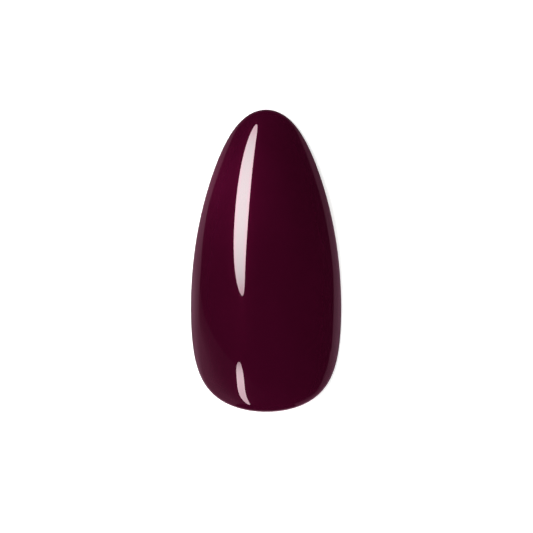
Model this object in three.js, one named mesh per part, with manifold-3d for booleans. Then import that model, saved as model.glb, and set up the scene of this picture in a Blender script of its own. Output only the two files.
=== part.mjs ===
// Almond-shaped false nail with a dark plum gel coat, lying on its edge with the arched side up.
// Millimetres. +Z is up, +Y runs to the pointed free edge, and the origin is under the middle of the nail.

import * as THREE from 'three';
import { mergeVertices } from 'three/addons/utils/BufferGeometryUtils.js';
import Module from 'manifold-3d';

// The arched outer surface, up to where its edge starts to roll under.
// A place along the nail is q, from -1 at the cuticle end to 1 at the free edge.
// Each law is a polynomial in q, its lowest power first.
const HALF_LENGTH = 12.857;
// Half width, as a multiple of an ellipse's sqrt(1 - q * q)
const OUTLINE_LAW = [6.168, -1.404, 0.771, -1.141, 1.298];
// Rise of the crown above the edge, as a multiple of 1 - q * q
const ARCH_LAW = [2.888, -0.907, 1.905, -0.859, 1.726];
// Height of the edge: it touches down at the heels, at q = HEEL, and at the free edge, and arches in between
const HEEL = -0.55;
const EDGE_BASE = 0.52;
const EDGE_LAW = [1.45, -1.3];

// Thicknesses of the coat and of the plastic shell, at the edge and in the middle
const COAT_EDGE = 0.18;
const COAT_MIDDLE = 0.4;
const SHELL_EDGE = 0.36;
const SHELL_MIDDLE = 0.62;
const BOND_GAP = 0.02;

// The coat wraps round the rounded edge and thins out under it
const WRAP_START = Math.PI / 2;
const WRAP_END = THREE.MathUtils.degToRad(-70);
const WRAP_TAPER = 0.75;

// The seat for the natural nail: a shallow recess under the cuticle half, ended by a bowed stop step
const SEAT_DEPTH = 0.15;
const SEAT_STOP = -2.4;
const SEAT_BOW = 0.06;
const SEAT_RUN = 1.2;
const SEAT_FADE = 6;

// The three low spots of the edge are flattened by this much, so that the nail lies steady
const REST_DEPTH = 0.06;

// Fineness of the mesh
const SEGMENTS = 56;
const RINGS = 12;
const WRAP_ROWS = 6;
const SLOPE_STEP = 0.01;
const WELD = 1e-4;

const EDGE_RADIUS = SHELL_EDGE / 2;
const OUTER_RADIUS = EDGE_RADIUS + BOND_GAP + COAT_EDGE;

const wasm = await Module();
wasm.setup();

function polynomial(law, q) {
  return law.reduceRight((sum, factor) => sum * q + factor, 0);
}

function slopeOf(law, q) {
  return (polynomial(law, q + SLOPE_STEP) - polynomial(law, q - SLOPE_STEP)) / (2 * SLOPE_STEP);
}

function edgeHeight(q) {
  return EDGE_BASE + (q - HEEL) ** 2 * (1 - q) * polynomial(EDGE_LAW, q);
}

// Height of the outer surface: every cross-section is a circular arc from edge to edge
function outerHeight(x, y) {
  const q = y / HALF_LENGTH;
  const width = polynomial(OUTLINE_LAW, q);
  const rise = polynomial(ARCH_LAW, q);
  const curvature = (2 * rise) / (width ** 2 + rise ** 2 * (1 - q ** 2));
  const drop = (curvature * x ** 2) / (1 + Math.sqrt(1 - (curvature * x) ** 2));
  return edgeHeight(q) + rise * (1 - q ** 2) - drop;
}

function outerNormal(x, y) {
  const alongX = (outerHeight(x + SLOPE_STEP, y) - outerHeight(x - SLOPE_STEP, y)) / (2 * SLOPE_STEP);
  const alongY = (outerHeight(x, y + SLOPE_STEP) - outerHeight(x, y - SLOPE_STEP)) / (2 * SLOPE_STEP);
  return new THREE.Vector3(-alongX, -alongY, 1).normalize();
}

// A point of the unit disc (p, q) taken to the outer surface, with the surface's normal there
function outerFrame(p, q) {
  const x = polynomial(OUTLINE_LAW, q) * p;
  const y = HALF_LENGTH * q;
  return { point: new THREE.Vector3(x, y, outerHeight(x, y)), normal: outerNormal(x, y) };
}

// The point that lies this deep under the outer surface
function atDepth(p, q, depth) {
  const { point, normal } = outerFrame(p, q);
  return point.addScaledVector(normal, -depth);
}

// A point on the rounded edge: angle 90 degrees is the outer surface, 0 is outwards, -90 is the underside
function onEdge(p, q, radius, angle) {
  const { point, normal } = outerFrame(p, q);
  const outwards = new THREE.Vector3(
    HALF_LENGTH * p,
    polynomial(OUTLINE_LAW, q) * q - slopeOf(OUTLINE_LAW, q) * p ** 2,
    0,
  );
  outwards.projectOnPlane(normal).normalize();
  return point
    .addScaledVector(normal, radius * Math.sin(angle) - OUTER_RADIUS)
    .addScaledVector(outwards, radius * Math.cos(angle));
}

function coatThickness(p, q) {
  return COAT_EDGE + (COAT_MIDDLE - COAT_EDGE) * (1 - p ** 2 - q ** 2);
}

function seatRecess(p, q) {
  const { x, y } = outerFrame(p, q).point;
  const behindStop = THREE.MathUtils.smoothstep(SEAT_STOP - SEAT_BOW * x ** 2 - y, 0, SEAT_RUN);
  return SEAT_DEPTH * behindStop * (1 - Math.hypot(p, q) ** SEAT_FADE);
}

function shellThickness(p, q) {
  const plain = SHELL_EDGE + (SHELL_MIDDLE - SHELL_EDGE) * (1 - p ** 2 - q ** 2);
  return plain - seatRecess(p, q);
}

// The coat's outline across its edge: down round the outside, over its thin end, back up the inside
function coatEdge(p, q, row) {
  const outside = row <= WRAP_ROWS;
  const step = outside ? row : 2 * WRAP_ROWS + 1 - row;
  const angle = WRAP_START + ((WRAP_END - WRAP_START) * step) / WRAP_ROWS;
  const underneath = Math.max(angle / WRAP_END, 0);
  const film = outside ? COAT_EDGE * (1 - WRAP_TAPER * underneath ** 2) : 0;
  return onEdge(p, q, EDGE_RADIUS + BOND_GAP + film, angle);
}

function shellEdge(p, q, row) {
  return onEdge(p, q, EDGE_RADIUS, Math.PI / 2 - (Math.PI * row) / (2 * WRAP_ROWS));
}

// A round drum whose top, side and bottom become a piece's outer sheet, edge and inner sheet
function shapedDrum(sideRows, outerSheet, edge, innerSheet) {
  const profile = [];
  for (let ring = 0; ring <= RINGS; ring++) {
    profile.push(new THREE.Vector2(ring / RINGS, 0));
  }
  for (let row = 1; row < sideRows; row++) {
    profile.push(new THREE.Vector2(1, -row));
  }
  for (let ring = RINGS; ring >= 0; ring--) {
    profile.push(new THREE.Vector2(ring / RINGS, -sideRows));
  }
  const geometry = new THREE.LatheGeometry(profile, SEGMENTS);
  const positions = geometry.attributes.position;
  for (let i = 0; i < positions.count; i++) {
    const p = positions.getX(i);
    const q = positions.getZ(i);
    const row = Math.round(-positions.getY(i));
    let point;
    if (row === 0) {
      point = outerSheet(p, q);
    } else if (row === sideRows) {
      point = innerSheet(p, q);
    } else {
      point = edge(p, q, row);
    }
    positions.setXYZ(i, point.x, point.y, point.z);
  }
  return geometry;
}

function toSolid(geometry) {
  geometry.deleteAttribute('normal');
  geometry.deleteAttribute('uv');
  const merged = mergeVertices(geometry, WELD);
  const corners = merged.index.array;
  const triangles = [];
  for (let i = 0; i < corners.length; i += 3) {
    const [a, b, c] = corners.slice(i, i + 3);
    if (a !== b && b !== c && c !== a) {
      triangles.push(a, b, c);
    }
  }
  return new wasm.Manifold(
    new wasm.Mesh({
      numProp: 3,
      vertProperties: merged.attributes.position.array,
      triVerts: Uint32Array.from(triangles),
    }),
  );
}

function toGeometry(solid) {
  const { vertProperties, triVerts } = solid.getMesh();
  const geometry = new THREE.BufferGeometry();
  geometry.setAttribute('position', new THREE.BufferAttribute(vertProperties, 3));
  geometry.setIndex(new THREE.BufferAttribute(triVerts, 1));
  geometry.computeVertexNormals();
  return geometry;
}

// Everything below the surface that the nail lies on
function underTheRest() {
  const depth = 4 * REST_DEPTH;
  const box = new THREE.BoxGeometry(4 * HALF_LENGTH, 4 * HALF_LENGTH, depth);
  box.translate(0, 0, -depth / 2);
  return toSolid(box);
}

function makeCoat() {
  const drum = shapedDrum(
    2 * WRAP_ROWS + 1,
    (p, q) => atDepth(p, q, 0),
    coatEdge,
    (p, q) => atDepth(p, q, coatThickness(p, q)),
  );
  const polish = new THREE.MeshStandardMaterial({ color: 0x38051c, roughness: 0.06, metalness: 0 });
  const mesh = new THREE.Mesh(toGeometry(toSolid(drum).subtract(underTheRest())), polish);
  mesh.name = 'polish_coat';
  return mesh;
}

function makeShell() {
  const drum = shapedDrum(
    2 * WRAP_ROWS,
    (p, q) => atDepth(p, q, coatThickness(p, q) + BOND_GAP),
    shellEdge,
    (p, q) => atDepth(p, q, coatThickness(p, q) + BOND_GAP + shellThickness(p, q)),
  );
  const plastic = new THREE.MeshStandardMaterial({ color: 0xece5d6, roughness: 0.5, metalness: 0 });
  const mesh = new THREE.Mesh(toGeometry(toSolid(drum)), plastic);
  mesh.name = 'nail_tip';
  return mesh;
}

const falseNail = new THREE.Group();
falseNail.add(makeShell(), makeCoat());

export default falseNail;
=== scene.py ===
"""Looks of an almond-shaped false nail: a milky plastic tip under a glossy dark plum gel polish coat.

The nail lies on its edge with the arched side up and its pointed free edge towards +Y. Sizes are in metres.
"""

import math

import bpy
from bpy.props import FloatProperty, FloatVectorProperty, IntProperty, PointerProperty
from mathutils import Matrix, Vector


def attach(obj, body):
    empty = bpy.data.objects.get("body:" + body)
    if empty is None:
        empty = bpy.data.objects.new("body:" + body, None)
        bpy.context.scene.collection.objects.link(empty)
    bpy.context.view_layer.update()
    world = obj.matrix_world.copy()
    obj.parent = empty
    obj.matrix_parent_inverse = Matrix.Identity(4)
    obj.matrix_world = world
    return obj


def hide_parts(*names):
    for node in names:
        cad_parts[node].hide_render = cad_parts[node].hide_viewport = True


bl_info = {
    "name": "False Nail",
    "version": (1, 0, 0),
    "blender": (4, 5, 0),
    "location": "3D View > Sidebar > False Nail",
    "description": "Makes the plastic tip, the polish coat and the stage of an almond-shaped false nail",
    "category": "Add Mesh",
}

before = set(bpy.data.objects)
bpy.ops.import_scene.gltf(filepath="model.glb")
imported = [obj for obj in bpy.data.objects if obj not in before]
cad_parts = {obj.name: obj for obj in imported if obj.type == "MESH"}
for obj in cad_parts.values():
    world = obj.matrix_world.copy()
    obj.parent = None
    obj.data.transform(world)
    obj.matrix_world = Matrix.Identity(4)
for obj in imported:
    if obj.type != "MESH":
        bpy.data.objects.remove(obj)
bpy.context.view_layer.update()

MM = 0.001

# The outer surface's laws, in millimetres, as polynomials of the place q along the nail, lowest power first.
# q runs from -1 at the cuticle end to 1 at the free edge, before the edge starts to roll under.
# They give the half width as a multiple of an ellipse's, the rise of the crown above the edge as a multiple
# of 1 - q * q, and the height of the edge, which is lowest at the heels, at q = HEEL, and at the free edge.
HALF_LENGTH = 12.857
OUTLINE_LAW = (6.168, -1.404, 0.771, -1.141, 1.298)
ARCH_LAW = (2.888, -0.907, 1.905, -0.859, 1.726)
HEEL = -0.55
EDGE_BASE = 0.52
EDGE_LAW = (1.45, -1.3)
SLOPE_STEP = 0.04

# Thicknesses of the coat and of the plastic, in millimetres, at the edge and in the middle
COAT_EDGE = 0.18
COAT_MIDDLE = 0.4
BOND_GAP = 0.02
SHELL_EDGE = 0.36
SHELL_MIDDLE = 0.62

# The coat's wrap round the edge, and the seat under the cuticle half with its bowed stop step, in millimetres
WRAP_START = math.radians(90)
WRAP_END = math.radians(-70)
WRAP_TAPER = 0.75
SEAT_DEPTH = 0.15
SEAT_STOP = -2.4
SEAT_BOW = 0.06
SEAT_RUN = 1.2
SEAT_FADE = 6

# Fineness of the meshes, and the angle from which an edge shades sharp
SEGMENTS = 256
RINGS = 120
WRAP_ROWS = 14
HALF_ROW = 0.5
SHARP_ANGLE = math.radians(50)

# The lowest x, y and z of any point, in metres: nothing goes below the surface that the nail lies on
LOWEST_PLACE = (-1.0, -1.0, 0.0)

# Patterns in the two materials, in bumps per metre, and the heights of their bumps in metres
CLOUD = {"scale": 420.0, "detail": 3.0}
GRAIN = {"scale": 9000.0, "detail": 2.0}
LEVELLING = {"scale": 160.0, "detail": 1.0, "roughness": 0.4, "place": (3.0, 1.0, 0.0)}
LEVELLING_HEIGHT = 4e-6
FLOW = {"scale": 260.0, "detail": 3.0}
FROST = {"scale": 14000.0, "detail": 3.0, "roughness": 0.7}
FROST_HEIGHT = 1.5e-5

# The polish gets lighter where its film is thinner than this many millimetres, and where its grain is high
THIN_FILM = 0.24
THIN_SHARE = 0.35
SPECK_START = 0.35
SPECK_FULL = 0.75
SPECK_SHARE = 0.18
PIGMENT_ROUGHNESS = 0.2
CLOUD_ROUGHNESS = 0.08

# The plastic is a little rougher in its flow marks, and frosted on the seat
SEAT_PALENESS = 0.5
PLASTIC_ROUGHNESS = 0.3
FLOW_ROUGHNESS = 0.06
SEAT_ROUGHNESS = 0.34
MOULDED_RELIEF = 0.15

# The photograph's frame, and the nail's place in it
FRAME_SIDE = 45.84 * MM
FRAME_CENTRE = Vector((0.038, -0.50, 0.6)) * MM
CAMERA_HEIGHT = 0.5
CAMERA_CLIP = (0.005, 10.0)
SENSOR = 36.0

# Places and widths of the lights that the gloss doesn't show, and where the narrow beam lands, in metres
KEY_PLACE = (-0.4, 0.0, 0.81)
KEY_WIDTH = 0.5
FRONT_PLACE = (0.0, -0.8, 0.3)
BACK_PLACE = (0.0, 0.8, 0.3)
LOW_LIGHT_WIDTH = 0.3
POOL_PLACE = (-0.15, 0.06, 0.05)
POOL_AIM = (-0.0044, 0.007, 0.0018)
POOL_WIDTH = 0.012
POOL_LAMP_RADIUS = 0.004

# The two gleams on the coat run along the nail from one y to another, in millimetres, with t from 0 to 1.
# Their middle line's x follows one polynomial of t. Their half width is the root of t (1 - t) times another,
# and their glow follows a third. Their colour has this much of the seam's blush along the middle line, from
# one end to the other, and all of it at their edges.
LONG_GLEAM = {
    "ends": (-3.0, 11.72),
    "glow": (0.577, 1.54, -1.4),
    "blush": (0.0, 0.0),
    "middle": (-2.029, -2.263, 7.456, -8.115, 4.125),
    "width": (1.66, -1.16, 1.0),
}
SHORT_GLEAM = {
    "ends": (-12.37, -8.66),
    "glow": (0.79, -0.15, 2.1, -2.3),
    "blush": (1.0, 0.55),
    "middle": (-1.407, -4.219, 9.379, -9.905, 3.838),
    "width": (0.544, -0.671, 0.686),
}
GLEAM_ROWS = 48
GLEAM_COLUMNS = 8

# The blush starts this share of the way out to a gleam's edge, and this power keeps it near the gleam's ends.
# The cloth is this much brighter along its seam.
BLUSH_START = 0.5
BLUSH_END_POWER = 2
SEAM_GAIN = 0.14

# Two raised corners of the card show as a soft sheen at the lower left and as the end of the band at the
# right. Each reflection lies between an outer and an inner line, in millimetres. Its glow falls by a power of
# the way across to a ledge. The ledge and the gain change from the line's first point to its last.
SHEEN = {
    "outer": (
        (-5.95, -2.1), (-5.9, -4.5), (-5.7, -6.2), (-5.4, -7.7), (-5.1, -9.8), (-4.4, -11.1), (-2.7, -12.3),
    ),
    "inner": (
        (-5.7, -2.1), (-5.35, -4.5), (-4.65, -6.2), (-3.7, -7.7), (-2.0, -9.6), (-0.7, -10.9), (0.5, -12.2),
    ),
    "ledge": (0.35, 0.0),
    "power": 4,
    "gain": (0.75, 1.15),
}
BAND_END = {
    "outer": (
        (5.96, -7.8), (5.7, -8.9), (5.44, -9.7), (5.0, -10.6), (4.5, -11.3), (3.6, -12.0), (2.5, -12.4),
    ),
    "inner": (
        (5.53, -7.8), (5.31, -8.9), (5.05, -9.7), (4.7, -10.6), (4.25, -11.3), (3.35, -11.9), (2.4, -12.3),
    ),
    "ledge": (0.6, 0.4),
    "power": 1,
    "gain": (1.2, 1.0),
}
CORNER_STEPS = 6
CORNER_COLUMNS = 12
# Distance of the corners from the nail, as a multiple of the softboxes' distance
CORNER_DISTANCE = 1.4

# The pink card lies round the nail in rings at these distances from its edge, in millimetres. Its glow rises
# towards the nail, down to the nearest distance. Right beside the edge a painted shade, standing for the
# nail's shadow, dims the glow to its first share and ends at this width. A glow above the plain pink's is
# paler.
# Its left and right have values that are evenly spaced from the nail's cuticle end to its free edge: the glow
# far off, the rise times the distance, and the angle in degrees by which the card climbs outwards.
CARD_DEPTH = 0.1 * MM
CARD_ANGLES = 96
CARD_DISTANCES = (0.0, 1.0, 2.0, 3.0, 4.5, 6.5, 9.0, 13.0, 20.0, 35.0, 70.0, 150.0, 500.0)
CARD_NEAREST = 4.5
CARD_PINK = 0.51
CARD_PAINTED_SHADE = 0.05
CARD_PAINTED_SHADE_WIDTH = 2.0
CARD_LEFT = {
    "far": (0.51, 0.51, 0.51, 0.5, 0.68, 0.95, 1.0, 0.7, 0.7),
    "rise": (5.3, 5.3, 3.2, 5.0, 3.5, 1.5, 0.8, 1.0, 1.0),
    "tilt": (0.0, 0.0, 0.0, 2.2, 1.1, -0.3, -1.9, -0.8, 0.0),
}
CARD_RIGHT = {
    "far": (0.51, 0.51, 0.57, 0.56, 0.51, 0.51, 0.51, 0.51, 0.51),
    "rise": (5.3, 2.8, 1.9, 2.4, 2.6, 1.5, 0.0, 0.0, 0.0),
    "tilt": (0.0, 0.0, -0.9, -0.9, 0.0, 0.4, -0.2, -0.4, 0.0),
}


class Wire:
    """A node's output that Python's operators work on: an expression adds the Math nodes it needs."""

    def __init__(self, tree, socket):
        self.tree = tree
        self.socket = socket

    def __add__(self, other):
        return math_node(self.tree, "ADD", self, other)

    def __radd__(self, other):
        return math_node(self.tree, "ADD", other, self)

    def __sub__(self, other):
        return math_node(self.tree, "SUBTRACT", self, other)

    def __rsub__(self, other):
        return math_node(self.tree, "SUBTRACT", other, self)

    def __mul__(self, other):
        return math_node(self.tree, "MULTIPLY", self, other)

    def __rmul__(self, other):
        return math_node(self.tree, "MULTIPLY", other, self)

    def __truediv__(self, other):
        return math_node(self.tree, "DIVIDE", self, other)

    def __rtruediv__(self, other):
        return math_node(self.tree, "DIVIDE", other, self)

    def __pow__(self, other):
        return math_node(self.tree, "POWER", self, other)

    def __lt__(self, other):
        return math_node(self.tree, "LESS_THAN", self, other)

    def __gt__(self, other):
        return math_node(self.tree, "GREATER_THAN", self, other)


def add_node(tree, kind, settings=None, sockets=None, output=0):
    """Adds a node of this kind: first its settings, then the values or links of its sockets."""
    node = tree.nodes.new(kind)
    for name, value in (settings or {}).items():
        setattr(node, name, value)
    for key, value in (sockets or {}).items():
        if isinstance(value, Wire):
            tree.links.new(value.socket, node.inputs[key])
        else:
            node.inputs[key].default_value = value
    if not node.outputs:
        return None
    return Wire(tree, node.outputs[output])


def math_node(tree, operation, *values):
    """Adds one Math node on wires or numbers."""
    return add_node(tree, "ShaderNodeMath", {"operation": operation}, dict(enumerate(values)))


def vector_node(tree, operation, *values):
    """Adds one Vector Math node on wires or vectors."""
    return add_node(tree, "ShaderNodeVectorMath", {"operation": operation}, dict(enumerate(values)))


def scaled(vector, factor):
    """A vector wire times a number."""
    sockets = {0: vector, "Scale": factor}
    return add_node(vector.tree, "ShaderNodeVectorMath", {"operation": "SCALE"}, sockets)


def smooth_step(value, low, high):
    """0 below low, 1 above high, and a smooth rise in between."""
    settings = {"interpolation_type": "SMOOTHSTEP"}
    sockets = {"Value": value, "From Min": low, "From Max": high}
    return add_node(value.tree, "ShaderNodeMapRange", settings, sockets)


def polynomial(law, place):
    """The law's value at this place, which is a number or a wire."""
    total = law[-1]
    for factor in reversed(law[:-1]):
        total = total * place + factor
    return total


def between(ends, share):
    """A number or a wire between two, this share of the way."""
    return ends[0] + (ends[1] - ends[0]) * share


def value_along(values, q):
    """The value at q, from -1 to 1, between evenly spaced values."""
    place = (q + 1) / 2 * (len(values) - 1)
    first = min(int(place), len(values) - 2)
    return between(values[first:first + 2], place - first)


def slope_law(law):
    """The coefficients of a law's slope."""
    return tuple(power * factor for power, factor in enumerate(law))[1:]


def root(value):
    """Square root of a number or a wire."""
    if isinstance(value, Wire):
        return math_node(value.tree, "SQRT", value)
    return math.sqrt(value)


def outer_height(x, y):
    """Height of the outer surface in millimetres: every cross-section is an arc from edge to edge."""
    q = y / HALF_LENGTH
    width = polynomial(OUTLINE_LAW, q)
    rise = polynomial(ARCH_LAW, q)
    span = 1 - q * q
    curvature = 2 * rise / (width * width + rise * rise * span)
    bend = curvature * x
    drop = bend * x / (1 + root(1 - bend * bend))
    from_heel = q - HEEL
    edge = EDGE_BASE + from_heel * from_heel * (1 - q) * polynomial(EDGE_LAW, q)
    return edge + rise * span - drop


def outer_slopes(x, y):
    """Slopes of the outer surface across and along the nail."""
    across = (outer_height(x + SLOPE_STEP, y) - outer_height(x - SLOPE_STEP, y)) / (2 * SLOPE_STEP)
    along = (outer_height(x, y + SLOPE_STEP) - outer_height(x, y - SLOPE_STEP)) / (2 * SLOPE_STEP)
    return across, along


def new_tree(name, inputs):
    """An empty geometry tree with named inputs, and a dictionary of their wires."""
    tree = bpy.data.node_groups.new(name, "GeometryNodeTree")
    tree.interface.new_socket("Geometry", in_out="OUTPUT", socket_type="NodeSocketGeometry")
    for label, (kind, default) in inputs.items():
        item = tree.interface.new_socket(label, in_out="INPUT", socket_type=kind)
        item.default_value = default
    wires = {label: add_node(tree, "NodeGroupInput", None, None, label) for label in inputs}
    return tree, wires


def drum_fields(tree, segments, rings, side_rows):
    """A drum of radius 1 whose top, side and bottom become a sheet, an edge and a sheet, with its fields."""
    sockets = {
        "Vertices": segments,
        "Side Segments": side_rows,
        "Fill Segments": rings,
        "Radius": 1.0,
        "Depth": 2.0,
    }
    drum = add_node(tree, "GeometryNodeMeshCylinder", {"fill_type": "TRIANGLE_FAN"}, sockets)
    position = add_node(tree, "GeometryNodeInputPosition")
    p, q, level = (add_node(tree, "ShaderNodeSeparateXYZ", None, {0: position}, axis) for axis in "XYZ")
    row = math_node(tree, "ROUND", (1 - level) / 2 * side_rows)
    return drum, p, q, row


def drum_masks(row, side_rows):
    """Masks of the drum's bottom and of its side."""
    on_top = row < HALF_ROW
    on_bottom = row > side_rows - HALF_ROW
    return on_bottom, 1 - on_top - on_bottom


def outer_frame(tree, p, q):
    """The outer surface's point, normal and outward direction at a place of the unit disc, in millimetres."""
    x = polynomial(OUTLINE_LAW, q) * p
    y = HALF_LENGTH * q
    across, along = outer_slopes(x, y)
    point = add_node(tree, "ShaderNodeCombineXYZ", None, {"X": x, "Y": y, "Z": outer_height(x, y)})
    leaning = add_node(tree, "ShaderNodeCombineXYZ", None, {"X": 0 - across, "Y": 0 - along, "Z": 1.0})
    normal = vector_node(tree, "NORMALIZE", leaning)
    plan_y = polynomial(OUTLINE_LAW, q) * q - polynomial(slope_law(OUTLINE_LAW), q) * p * p
    plan = add_node(tree, "ShaderNodeCombineXYZ", None, {"X": HALF_LENGTH * p, "Y": plan_y, "Z": 0.0})
    beside = vector_node(tree, "SUBTRACT", plan, vector_node(tree, "PROJECT", plan, normal))
    return point, normal, vector_node(tree, "NORMALIZE", beside)


def shaped(tree, drum, frame_wires, depth, reach):
    """Takes the drum's points to this depth under the outer surface and this reach past it, in metres."""
    point, normal, outwards = frame_wires
    sunk = vector_node(tree, "SUBTRACT", point, scaled(normal, depth))
    moved = vector_node(tree, "ADD", sunk, scaled(outwards, reach))
    flat = vector_node(tree, "MAXIMUM", scaled(moved, MM), LOWEST_PLACE)
    return add_node(tree, "GeometryNodeSetPosition", None, {"Geometry": drum, "Position": flat})


def noted(geometry, name, value):
    """Stores a number on every point, for the materials."""
    settings = {"data_type": "FLOAT", "domain": "POINT"}
    sockets = {"Geometry": geometry, "Name": name, "Value": value}
    return add_node(geometry.tree, "GeometryNodeStoreNamedAttribute", settings, sockets)


def close_tree(tree, geometry, material):
    """Ends a tree in smooth shading, Realize Instances and Set Material."""
    smooth = add_node(tree, "GeometryNodeSetShadeSmooth", None, {"Geometry": geometry, "Shade Smooth": True})
    real = add_node(tree, "GeometryNodeRealizeInstances", None, {"Geometry": smooth})
    painted = add_node(tree, "GeometryNodeSetMaterial", None, {"Geometry": real, "Material": material})
    add_node(tree, "NodeGroupOutput", None, {"Geometry": painted})


# The named inputs of both pieces' trees, each with its socket type and its default
SHAPE_INPUTS = {
    "Segments": ("NodeSocketInt", SEGMENTS),
    "Rings": ("NodeSocketInt", RINGS),
    "Wrap Rows": ("NodeSocketInt", WRAP_ROWS),
    "Coat Edge": ("NodeSocketFloat", COAT_EDGE),
    "Coat Middle": ("NodeSocketFloat", COAT_MIDDLE),
    "Bond Gap": ("NodeSocketFloat", BOND_GAP),
    "Shell Edge": ("NodeSocketFloat", SHELL_EDGE),
    "Shell Middle": ("NodeSocketFloat", SHELL_MIDDLE),
    "Seat Depth": ("NodeSocketFloat", SEAT_DEPTH),
}


def coat_tree(material):
    """Geometry tree of the polish coat: the outer sheet, the wrap round the edge, and the inner sheet."""
    tree, wire = new_tree("polish_coat_shape", SHAPE_INPUTS)
    wrap_rows = wire["Wrap Rows"]
    side_rows = 2 * wrap_rows + 1
    drum, p, q, row = drum_fields(tree, wire["Segments"], wire["Rings"], side_rows)
    frame_wires = outer_frame(tree, p, q)
    inside_radius = wire["Shell Edge"] / 2 + wire["Bond Gap"]
    outer_radius = inside_radius + wire["Coat Edge"]
    from_edge = 1 - p * p - q * q
    on_bottom, on_side = drum_masks(row, side_rows)
    outside = row < wrap_rows + HALF_ROW
    step = outside * row + (1 - outside) * (side_rows - row)
    angle = WRAP_START + (WRAP_END - WRAP_START) * step / wrap_rows
    underneath = math_node(tree, "MAXIMUM", angle / WRAP_END, 0.0)
    film = outside * wire["Coat Edge"] * (1 - WRAP_TAPER * underneath * underneath)
    radius = inside_radius + film
    thickness = between((wire["Coat Edge"], wire["Coat Middle"]), from_edge)
    side_depth = outer_radius - radius * math_node(tree, "SINE", angle)
    depth = on_bottom * thickness + on_side * side_depth
    reach = on_side * radius * math_node(tree, "COSINE", angle)
    geometry = shaped(tree, drum, frame_wires, depth, reach)
    close_tree(tree, noted(geometry, "film", thickness), material)
    return tree


def tip_tree(material):
    """Geometry tree of the plastic tip: its sheet under the coat, its rounded edge, and its underside."""
    tree, wire = new_tree("nail_tip_shape", SHAPE_INPUTS)
    side_rows = 2 * wire["Wrap Rows"]
    drum, p, q, row = drum_fields(tree, wire["Segments"], wire["Rings"], side_rows)
    frame_wires = outer_frame(tree, p, q)
    radius = wire["Shell Edge"] / 2
    outer_radius = radius + wire["Bond Gap"] + wire["Coat Edge"]
    from_edge = 1 - p * p - q * q
    x = polynomial(OUTLINE_LAW, q) * p
    behind_stop = smooth_step(SEAT_STOP - SEAT_BOW * x * x - HALF_LENGTH * q, 0.0, SEAT_RUN)
    inset = 1 - (p * p + q * q) ** (SEAT_FADE / 2)
    seat = behind_stop * inset
    on_bottom, on_side = drum_masks(row, side_rows)
    angle = math.pi / 2 - math.pi * row / side_rows
    coat = between((wire["Coat Edge"], wire["Coat Middle"]), from_edge) + wire["Bond Gap"]
    wall = between((wire["Shell Edge"], wire["Shell Middle"]), from_edge) - wire["Seat Depth"] * seat
    side_depth = outer_radius - radius * math_node(tree, "SINE", angle)
    depth = (1 - on_side) * coat + on_bottom * wall + on_side * side_depth
    reach = on_side * radius * math_node(tree, "COSINE", angle)
    geometry = shaped(tree, drum, frame_wires, depth, reach)
    close_tree(tree, noted(geometry, "seat", seat * on_bottom), material)
    return tree


def grown(name, tree, values):
    """Runs a geometry tree and returns its result as a plain mesh object at the origin."""
    piece = bpy.data.objects.new(name, bpy.data.meshes.new(name + "_blank"))
    bpy.context.scene.collection.objects.link(piece)
    modifier = piece.modifiers.new("shape", "NODES")
    modifier.node_group = tree
    for item in tree.interface.items_tree:
        if item.in_out == "INPUT":
            modifier[item.identifier] = values[item.name]
    depsgraph = bpy.context.evaluated_depsgraph_get()
    mesh = bpy.data.meshes.new_from_object(piece.evaluated_get(depsgraph), depsgraph=depsgraph)
    piece.modifiers.remove(modifier)
    piece.data = mesh
    mesh.name = name
    mesh.set_sharp_from_angle(angle=SHARP_ANGLE)
    return piece


def new_material(name, **constants):
    """A Principled material with these constants set on its own sockets, its tree and its shader."""
    material = bpy.data.materials.new(name)
    material.use_nodes = True
    tree = material.node_tree
    shader = tree.nodes["Principled BSDF"]
    for label, value in constants.items():
        shader.inputs[label.replace("_", " ")].default_value = value
    return material, tree, shader


def object_noise(tree, scale, detail=2.0, roughness=0.5, place=(0.0, 0.0, 0.0)):
    """Noise on Object coordinates, scale in bumps per metre."""
    coordinates = add_node(tree, "ShaderNodeTexCoord", None, None, "Object")
    moved = add_node(tree, "ShaderNodeMapping", None, {"Vector": coordinates, "Location": place})
    sockets = {"Vector": moved, "Scale": scale, "Detail": detail, "Roughness": roughness}
    return add_node(tree, "ShaderNodeTexNoise", None, sockets, "Fac")


def mixed(factor, first, second):
    """A colour between two colours."""
    settings = {"data_type": "RGBA"}
    return add_node(factor.tree, "ShaderNodeMix", settings, {0: factor, 6: first, 7: second}, 2)


def bumped(tree, height, distance):
    """Normal of a surface raised by this height field."""
    return add_node(tree, "ShaderNodeBump", None, {"Height": height, "Distance": distance})


def link(wire, shader, label):
    """Links a wire to one of the shader's sockets."""
    wire.tree.links.new(wire.socket, shader.inputs[label])


def polish_material(look):
    """Plum gel polish: pigment that is deeper where the coat is thicker, under a clear wet-look gloss."""
    material, tree, shader = new_material(
        "plum_gel_polish",
        Coat_Weight=look.gloss,
        Coat_Roughness=0.02,
        Coat_IOR=1.5,
        Specular_IOR_Level=0.03,
        Specular_Tint=(0.9, 0.05, 0.25, 1.0),
    )
    film = add_node(tree, "ShaderNodeAttribute", {"attribute_name": "film"}, None, "Fac")
    thin = 1 - smooth_step(film, COAT_EDGE, THIN_FILM)
    cloud = object_noise(tree, **CLOUD)
    grain = object_noise(tree, **GRAIN)
    pigment = mixed(cloud, tuple(look.polish), tuple(look.polish_bright))
    speck = smooth_step(grain, SPECK_START, SPECK_FULL)
    grained = mixed(speck * SPECK_SHARE, pigment, tuple(look.polish_bright))
    link(mixed(thin * THIN_SHARE, grained, tuple(look.polish_edge)), shader, "Base Color")
    link(PIGMENT_ROUGHNESS + CLOUD_ROUGHNESS * cloud, shader, "Roughness")
    levelling = object_noise(tree, **LEVELLING)
    link(bumped(tree, levelling, LEVELLING_HEIGHT), shader, "Normal")
    return material


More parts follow.
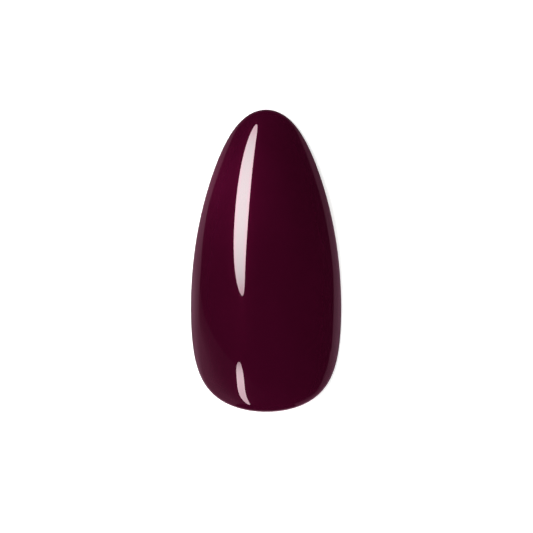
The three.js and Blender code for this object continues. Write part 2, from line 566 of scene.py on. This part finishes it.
def plastic_material(look):
    """Milky moulded plastic: glossy where it was moulded smooth, frosted where the natural nail is glued."""
    material, tree, shader = new_material("milky_tip_plastic", IOR=1.49)
    seat = add_node(tree, "ShaderNodeAttribute", {"attribute_name": "seat"}, None, "Fac")
    flow = object_noise(tree, **FLOW)
    frost = object_noise(tree, **FROST)
    body = mixed(flow, tuple(look.plastic), tuple(look.plastic_warm))
    link(mixed(seat * SEAT_PALENESS, body, tuple(look.plastic_frost)), shader, "Base Color")
    link(PLASTIC_ROUGHNESS + FLOW_ROUGHNESS * flow + SEAT_ROUGHNESS * seat, shader, "Roughness")
    relief = frost * between((MOULDED_RELIEF, 1.0), seat)
    link(bumped(tree, relief, FROST_HEIGHT), shader, "Normal")
    return material


def floor_material(studio):
    """Plain pale matt floor, lit a little from below."""
    material, _, _ = new_material(
        "pale_floor",
        Base_Color=(*studio.floor_colour, 1.0),
        Roughness=0.9,
        Specular_IOR_Level=0.0,
        Emission_Color=(1.0, 1.0, 1.0, 1.0),
        Emission_Strength=studio.floor_glow,
    )
    return material


def glowing_material(name, glow, plain, tinted):
    """A material that only glows: tint on its mesh mixes its two colours, and lamp scales them."""
    material = bpy.data.materials.new(name)
    material.use_nodes = True
    tree = material.node_tree
    tree.nodes.clear()
    lamp = add_node(tree, "ShaderNodeAttribute", {"attribute_name": "lamp"}, None, "Fac")
    tint = add_node(tree, "ShaderNodeAttribute", {"attribute_name": "tint"}, None, "Fac")
    lit = scaled(mixed(tint, (*plain, 1.0), (*tinted, 1.0)), lamp)
    light = add_node(tree, "ShaderNodeEmission", None, {"Color": lit, "Strength": glow})
    add_node(tree, "ShaderNodeOutputMaterial", None, {"Surface": light})
    return material


def softbox_material(name, studio, glow):
    """Glowing cloth of a softbox, whiter in the middle than along its seam."""
    return glowing_material(name, glow, studio.panel_colour, studio.seam_colour)


def card_material(name, studio, glow):
    """Glow of the pink card, paler close to the nail."""
    return glowing_material(name, glow, studio.card_colour, studio.card_near_colour)


def seen_in_coat(x, y, distance):
    """The point this far off that the camera sees reflected in the coat at x, y in millimetres."""
    across, along = outer_slopes(x, y)
    normal = Vector((-across, -along, 1.0)).normalized()
    point = Vector((x, y, outer_height(x, y))) * MM
    eye = FRAME_CENTRE + Vector((0.0, 0.0, CAMERA_HEIGHT))
    return point + (point - eye).normalized().reflect(normal) * distance


def smooth_value(a, b, c, d, t):
    """The value this share t of the way from b to c, on a smooth curve through four values."""
    slope = c - a
    bend = 2 * a - 5 * b + 4 * c - d
    twist = 3 * b - a - 3 * c + d
    return 0.5 * (2 * b + slope * t + bend * t ** 2 + twist * t ** 3)


def smooth_row(points, steps):
    """Points along a smooth curve through these points."""
    padded = [points[0], *points, points[-1]]
    row = []
    for stretch in zip(padded, padded[1:], padded[2:], padded[3:]):
        for step in range(steps):
            row.append(tuple(smooth_value(*values, step / steps) for values in zip(*stretch)))
    row.append(points[-1])
    return row


def grid_faces(rows, columns, closed=False):
    """Faces between the corners of a grid. A closed one's last row meets its first."""
    pairs = [(i, (i + 1) % rows) for i in range(rows if closed else rows - 1)]
    return [
        (i * columns + j, i * columns + j + 1, following * columns + j + 1, following * columns + j)
        for i, following in pairs
        for j in range(columns - 1)
    ]


def make_reflected_panel(name, rows, distance, material, notes):
    """A glowing panel on a dome round the nail, cut so that its reflection covers these rows of places."""
    corners = [seen_in_coat(x, y, distance) for row in rows for x, y in row]
    panel = new_sheet(name, corners, grid_faces(len(rows), len(rows[0])), material, notes)
    show_in_gloss_only(panel)
    return panel


def show_in_gloss_only(panel):
    """Makes a panel of the stage show in reflections and nowhere else."""
    panel.visible_camera = False
    panel.visible_diffuse = False
    panel.visible_shadow = False


def blush(middle, outwards):
    """Share of the seam's colour in a gleam, this far out from its middle at 0 to its edge at 1."""
    rise = max(outwards - BLUSH_START, 0.0) / (1 - BLUSH_START)
    return between((middle, 1.0), rise * rise * (3 - 2 * rise))


def make_softbox(name, gleam, distance, material):
    """The softbox whose reflection is this gleam."""
    low, high = gleam["ends"]
    rows, lamp, tint = [], [], []
    across = [2 * column / GLEAM_COLUMNS - 1 for column in range(GLEAM_COLUMNS + 1)]
    for step in range(GLEAM_ROWS + 1):
        t = (1 - math.cos(math.pi * step / GLEAM_ROWS)) / 2
        middle = polynomial(gleam["middle"], t)
        half = math.sqrt(t * (1 - t) * polynomial(gleam["width"], t))
        glow = polynomial(gleam["glow"], t)
        near_end = abs(2 * t - 1) ** BLUSH_END_POWER
        rows.append([(middle + half * side, low + (high - low) * t) for side in across])
        lamp += [glow * (1 + SEAM_GAIN * blush(0.0, abs(side))) for side in across]
        tint += [blush(between(gleam["blush"], t), max(abs(side), near_end)) for side in across]
    make_reflected_panel(name, rows, distance, material, {"lamp": lamp, "tint": tint})


def make_card_corner(name, corner, distance, material):
    """A raised corner of the card, down to the floor at its outer line."""
    rows, lamp = [], []
    lines = list(zip(smooth_row(corner["outer"], CORNER_STEPS), smooth_row(corner["inner"], CORNER_STEPS)))
    shares = [column / CORNER_COLUMNS for column in range(CORNER_COLUMNS + 1)]
    for step, (outer, inner) in enumerate(lines):
        along = step / (len(lines) - 1)
        gain = between(corner["gain"], along)
        ledge = between(corner["ledge"], along)
        rows.append([tuple(between(ends, share) for ends in zip(outer, inner)) for share in shares])
        lamp += [gain * between((ledge, 1.0), (1 - share) ** corner["power"]) for share in shares]
    panel = make_reflected_panel(name, rows, distance * CORNER_DISTANCE, material, {"lamp": lamp})
    for row in range(len(rows)):
        panel.data.vertices[row * len(shares)].co.z = 0.0


def make_card(material):
    """The pink card, in rings round the nail's outline. Its two sides' values blend where they meet."""
    corners, lamp, tint = [], [], []
    for step in range(CARD_ANGLES):
        angle = 2 * math.pi * step / CARD_ANGLES
        p, q = math.cos(angle), math.sin(angle)
        width = polynomial(OUTLINE_LAW, q)
        edge = Vector((width * p, HALF_LENGTH * q))
        plan_y = width * q - polynomial(slope_law(OUTLINE_LAW), q) * p * p
        outwards = Vector((HALF_LENGTH * p, plan_y)).normalized()
        side = min(max(0.5 + p, 0.0), 1.0)
        far, rise, tilt = (
            between((value_along(CARD_LEFT[law], q), value_along(CARD_RIGHT[law], q)), side)
            for law in ("far", "rise", "tilt")
        )
        for distance in CARD_DISTANCES:
            glow = far + rise / max(distance, CARD_NEAREST)
            # Painted shade: the card's glow is dimmed next to the nail's edge, in place of the nail's shadow
            # on it
            painted_shade = between((CARD_PAINTED_SHADE, 1.0), min(distance / CARD_PAINTED_SHADE_WIDTH, 1.0))
            height = distance * math.tan(math.radians(tilt)) * MM
            corners.append((*((edge + outwards * distance) * MM), height - CARD_DEPTH))
            lamp.append(painted_shade * glow)
            tint.append(1 - CARD_PINK / glow)
    columns = len(CARD_DISTANCES)
    faces = grid_faces(CARD_ANGLES, columns, closed=True)
    faces.append([i * columns for i in range(CARD_ANGLES)])
    show_in_gloss_only(new_sheet("pink_card", corners, faces, material, {"lamp": lamp, "tint": tint}))


def new_sheet(name, corners, faces, material, notes):
    """An open mesh with numbers noted on its corners."""
    mesh = bpy.data.meshes.new(name)
    mesh.from_pydata(corners, [], faces)
    for label, values in notes.items():
        mesh.attributes.new(label, "FLOAT", "POINT").data.foreach_set("value", values)
    mesh.materials.append(material)
    sheet = bpy.data.objects.new(name, mesh)
    bpy.context.scene.collection.objects.link(sheet)
    return sheet


def make_disc_light(name, place, width, power):
    """A round soft light that faces the nail."""
    data = bpy.data.lights.new(name, "AREA")
    data.shape = "DISK"
    data.size = width
    data.energy = power
    hang_light(name, data, place, Vector())


def make_pool_light(name, place, aim, power):
    """A narrow beam that makes a soft-edged pool of light where it lands."""
    data = bpy.data.lights.new(name, "SPOT")
    data.spot_size = 2 * math.atan(POOL_WIDTH / 2 / (Vector(aim) - Vector(place)).length)
    data.spot_blend = 1.0
    data.shadow_soft_size = POOL_LAMP_RADIUS
    data.energy = power
    hang_light(name, data, place, aim)


def hang_light(name, data, place, aim):
    """Hangs a light that neither the camera nor the gloss shows."""
    light = bpy.data.objects.new(name, data)
    light.location = place
    light.rotation_euler = (Vector(aim) - Vector(place)).to_track_quat("-Z", "Y").to_euler()
    light.visible_camera = False
    light.visible_glossy = False
    bpy.context.scene.collection.objects.link(light)


def length(label, text, default):
    """A length property in metres."""
    return FloatProperty(name=label, description=text, default=default, min=0.0, unit="LENGTH", precision=5)


def number(label, text, default):
    """A plain number that isn't negative."""
    return FloatProperty(name=label, description=text, default=default, min=0.0)


def power(label, text, default):
    """A light's power in watts."""
    return FloatProperty(name=label, description=text, default=default, min=0.0, unit="POWER", precision=4)


def colour(label, text, default):
    """A linear colour property."""
    return FloatVectorProperty(
        name=label, description=text, default=default, size=len(default), min=0.0, max=1.0, subtype="COLOR"
    )


class NailShapeSettings(bpy.types.PropertyGroup):
    """Thicknesses of the nail's two pieces and the fineness of their meshes."""

    coat_edge: length("Coat at Edge", "Thickness of the polish where it wraps the edge", COAT_EDGE * MM)
    coat_middle: length("Coat in Middle", "Thickness of the polish on the crown", COAT_MIDDLE * MM)
    bond_gap: length("Bond Gap", "Clearance that stands for the bond of polish and plastic", BOND_GAP * MM)
    shell_edge: length("Shell at Edge", "Thickness of the plastic at its rounded edge", SHELL_EDGE * MM)
    shell_middle: length("Shell in Middle", "Thickness of the plastic under the crown", SHELL_MIDDLE * MM)
    seat_depth: length("Seat Depth", "Depth of the recess that the natural nail is glued in", SEAT_DEPTH * MM)
    segments: IntProperty(name="Segments", description="Points around the outline", default=SEGMENTS, min=24)
    rings: IntProperty(name="Rings", description="Rings from the middle to the edge", default=RINGS, min=6)
    wrap_rows: IntProperty(name="Wrap Rows", description="Rows round the edge", default=WRAP_ROWS, min=3)


class NailLookSettings(bpy.types.PropertyGroup):
    """Colours of the polish and the plastic."""

    polish: colour("Polish", "Deep plum in the middle of the coat", (0.033, 0.0011, 0.0092, 1.0))
    polish_bright: colour("Polish Bright", "Plum where the pigment is lighter", (0.04, 0.0014, 0.0115, 1.0))
    polish_edge: colour("Polish Edge", "Plum where the coat is thin", (0.05, 0.003, 0.016, 1.0))
    plastic: colour("Plastic", "Milky body of the tip", (0.80, 0.75, 0.66, 1.0))
    plastic_warm: colour("Plastic Warm", "Warmer flow marks in the tip", (0.84, 0.76, 0.63, 1.0))
    plastic_frost: colour("Plastic Frost", "Frosted seat under the tip", (0.86, 0.83, 0.77, 1.0))
    gloss: FloatProperty(name="Gloss", description="Weight of the clear gloss", default=1.0, min=0.0, max=1.0)


class StudioSettings(bpy.types.PropertyGroup):
    """Size and light of the stage."""

    floor_side: length("Floor Side", "Side of the square floor", 6.0)
    floor_colour: colour("Floor", "Colour of the floor", (0.9, 0.9, 0.9))
    floor_glow: number("Floor Glow", "Light that comes through the floor", 0.6)
    panel_distance: length("Softbox Distance", "Distance of the softboxes from the nail", 0.25)
    panel_colour: colour("Softbox", "Colour of the softboxes' light", (0.98, 0.92, 0.93))
    seam_colour: colour("Softbox Seam", "Colour of the softboxes' light along their seams", (1.0, 0.7, 0.78))
    long_glow: number("Long Softbox Glow", "Brightness of the long softbox", 19.3)
    short_glow: number("Short Softbox Glow", "Brightness of the short softbox", 15.8)
    card_colour: colour("Pink Card", "Colour of the card that the coat's flanks reflect", (1.0, 0.42, 0.63))
    card_near_colour: colour("Pink Card Near", "Colour of the card close to the nail", (1.0, 0.58, 0.78))
    card_glow: number("Pink Card Glow", "Brightness of the card", 1.0)
    corner_glow: number("Card Corner Glow", "Brightness of the card's raised corners", 0.62)
    sky: number("Sky", "Brightness of the even light all round", 0.12)
    key_power: power("Key Light", "Power of the large light at the upper left", 6.1)
    front_power: power("Front Light", "Power of the low light at the cuticle end", 4.3)
    back_power: power("Back Light", "Power of the low light at the free edge", 2.3)
    pool_power: power("Pool Light", "Power of the narrow beam from the upper left", 1.3)


def shape_values(shape):
    """The trees' input values, in millimetres."""
    return {
        "Segments": shape.segments,
        "Rings": shape.rings,
        "Wrap Rows": shape.wrap_rows,
        "Coat Edge": shape.coat_edge / MM,
        "Coat Middle": shape.coat_middle / MM,
        "Bond Gap": shape.bond_gap / MM,
        "Shell Edge": shape.shell_edge / MM,
        "Shell Middle": shape.shell_middle / MM,
        "Seat Depth": shape.seat_depth / MM,
    }


class NAIL_OT_make_tip(bpy.types.Operator):
    """Make the moulded plastic tip"""

    bl_idname = "false_nail.make_tip"
    bl_label = "Make Plastic Tip"

    def execute(self, context):
        scene = context.scene
        tree = tip_tree(plastic_material(scene.nail_look))
        tip = grown("milky_plastic_tip", tree, shape_values(scene.nail_shape))
        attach(tip, "root")
        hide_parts("nail_tip")
        return {"FINISHED"}


class NAIL_OT_make_coat(bpy.types.Operator):
    """Make the polish coat over the tip"""

    bl_idname = "false_nail.make_coat"
    bl_label = "Make Polish Coat"

    def execute(self, context):
        scene = context.scene
        tree = coat_tree(polish_material(scene.nail_look))
        coat = grown("plum_polish_coat", tree, shape_values(scene.nail_shape))
        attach(coat, "root")
        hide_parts("polish_coat")
        return {"FINISHED"}


class NAIL_OT_set_stage(bpy.types.Operator):
    """Set the floor, the lights and the camera"""

    bl_idname = "false_nail.set_stage"
    bl_label = "Set Stage"

    def execute(self, context):
        studio = context.scene.nail_studio
        make_floor(studio)
        make_lights(studio)
        make_sky(studio)
        make_camera()
        return {"FINISHED"}


def make_floor(studio):
    """The floor at height 0, and the pink card just under it that the gloss shows in its place."""
    half = studio.floor_side / 2
    corners = [(x * half, y * half, 0.0) for x, y in ((-1, -1), (1, -1), (1, 1), (-1, 1))]
    floor = new_sheet("floor", corners, [(0, 1, 2, 3)], floor_material(studio), {})
    floor.visible_glossy = False
    make_card(card_material("pink_card", studio, studio.card_glow))


def make_lights(studio):
    """Two softboxes and the card's corners that the gloss shows, and lights that it doesn't."""
    distance = studio.panel_distance
    long_cloth = softbox_material("long_cloth", studio, studio.long_glow)
    short_cloth = softbox_material("short_cloth", studio, studio.short_glow)
    make_softbox("long_softbox", LONG_GLEAM, distance, long_cloth)
    make_softbox("short_softbox", SHORT_GLEAM, distance, short_cloth)
    corner_paper = card_material("pink_card_corner", studio, studio.corner_glow)
    make_card_corner("card_corner_left", SHEEN, distance, corner_paper)
    make_card_corner("card_corner_right", BAND_END, distance, corner_paper)
    make_disc_light("key_light", KEY_PLACE, KEY_WIDTH, studio.key_power)
    make_disc_light("front_light", FRONT_PLACE, LOW_LIGHT_WIDTH, studio.front_power)
    make_disc_light("back_light", BACK_PLACE, LOW_LIGHT_WIDTH, studio.back_power)
    make_pool_light("pool_light", POOL_PLACE, POOL_AIM, studio.pool_power)


def make_sky(studio):
    """Even light from all round, dimmer than its pale look, which the gloss doesn't show."""
    world = bpy.data.worlds.new("pale_surround")
    bpy.context.scene.world = world
    world.use_nodes = True
    tree = world.node_tree
    background = tree.nodes["Background"]
    background.inputs["Color"].default_value = (1.0, 1.0, 1.0, 1.0)
    looked_at = add_node(tree, "ShaderNodeLightPath", None, None, "Is Camera Ray")
    brightness = studio.sky + (1 - studio.sky) * looked_at
    tree.links.new(brightness.socket, background.inputs["Strength"])
    world.cycles_visibility.glossy = False


def make_camera():
    """A camera straight above with a long lens, as the photograph faces the nail."""
    data = bpy.data.cameras.new("camera")
    data.sensor_width = SENSOR
    data.lens = SENSOR * CAMERA_HEIGHT / FRAME_SIDE
    data.clip_start, data.clip_end = CAMERA_CLIP
    camera = bpy.data.objects.new("camera", data)
    camera.location = FRAME_CENTRE + Vector((0.0, 0.0, CAMERA_HEIGHT))
    bpy.context.scene.collection.objects.link(camera)
    bpy.context.scene.camera = camera
    bpy.context.scene.view_settings.view_transform = "Standard"


class NAIL_PT_panel(bpy.types.Panel):
    """Buttons and settings of the false nail"""

    bl_idname = "NAIL_PT_panel"
    bl_label = "False Nail"
    bl_space_type = "VIEW_3D"
    bl_region_type = "UI"
    bl_category = "False Nail"

    def draw(self, context):
        layout = self.layout
        for operator in (NAIL_OT_make_tip, NAIL_OT_make_coat, NAIL_OT_set_stage):
            layout.operator(operator.bl_idname)
        for settings in (context.scene.nail_shape, context.scene.nail_look, context.scene.nail_studio):
            for name in settings.bl_rna.properties.keys():
                if name not in {"rna_type", "name"}:
                    layout.prop(settings, name)


CLASSES = (
    NailShapeSettings,
    NailLookSettings,
    StudioSettings,
    NAIL_OT_make_tip,
    NAIL_OT_make_coat,
    NAIL_OT_set_stage,
    NAIL_PT_panel,
)


def register():
    """Registers the classes and hangs their settings on the scene."""
    for cls in CLASSES:
        bpy.utils.register_class(cls)
    bpy.types.Scene.nail_shape = PointerProperty(type=NailShapeSettings)
    bpy.types.Scene.nail_look = PointerProperty(type=NailLookSettings)
    bpy.types.Scene.nail_studio = PointerProperty(type=StudioSettings)


def unregister():
    """Takes the settings off the scene and the classes out."""
    del bpy.types.Scene.nail_studio
    del bpy.types.Scene.nail_look
    del bpy.types.Scene.nail_shape
    for cls in reversed(CLASSES):
        bpy.utils.unregister_class(cls)


def main():
    """Makes every piece and the stage."""
    register()
    bpy.ops.false_nail.make_tip()
    bpy.ops.false_nail.make_coat()
    bpy.ops.false_nail.set_stage()


if __name__ == "__main__":
    main()
